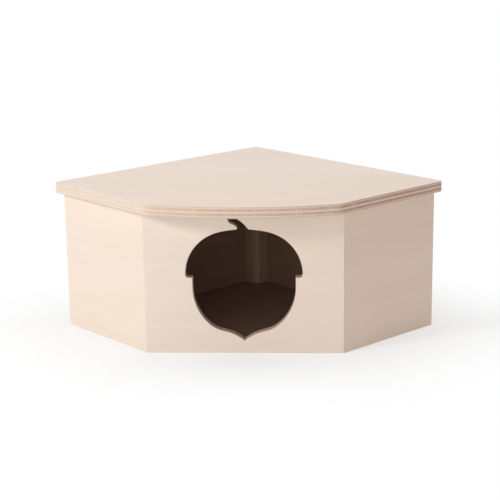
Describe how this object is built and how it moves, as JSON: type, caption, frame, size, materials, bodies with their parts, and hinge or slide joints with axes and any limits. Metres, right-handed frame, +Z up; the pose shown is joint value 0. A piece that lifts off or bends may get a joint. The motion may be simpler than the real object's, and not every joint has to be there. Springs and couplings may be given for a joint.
{
  "type": "wooden hamster house",
  "caption": "Corner hide of mitred plywood walls with an acorn-shaped doorway in its blunt front corner and a fan-shaped roof that lifts straight off.",
  "frame": {"origin": "on the floor, under the middle of the box that holds the whole house", "axes": "+Z up, the doorway faces -Y, the square back corner points to +Y"},
  "size_m": [0.2548, 0.2044, 0.1],
  "materials": {
    "wall_plywood": "sanded, unvarnished birch plywood",
    "roof_plywood": "sanded, unvarnished birch plywood with eased edges",
    "solid_pine": "planed, unvarnished softwood"
  },
  "bodies": {
    "house": {"front_panel": "wall_plywood", "left_side_panel": "wall_plywood", "right_side_panel": "wall_plywood", "back_left_panel": "wall_plywood", "back_right_panel": "wall_plywood", "back_corner_post": "solid_pine", "left_corner_post": "solid_pine", "right_corner_post": "solid_pine", "front_left_post": "solid_pine", "front_right_post": "solid_pine"},
    "roof": {"roof_panel": "roof_plywood", "roof_batten_left": "solid_pine", "roof_batten_right": "solid_pine"}
  },
  "joints": [
    {"name": "roof_lift", "type": "slide", "parent": "house", "child": "roof", "axis": [0, 0, 1], "range_m": [0, 0.15]}
  ]
}
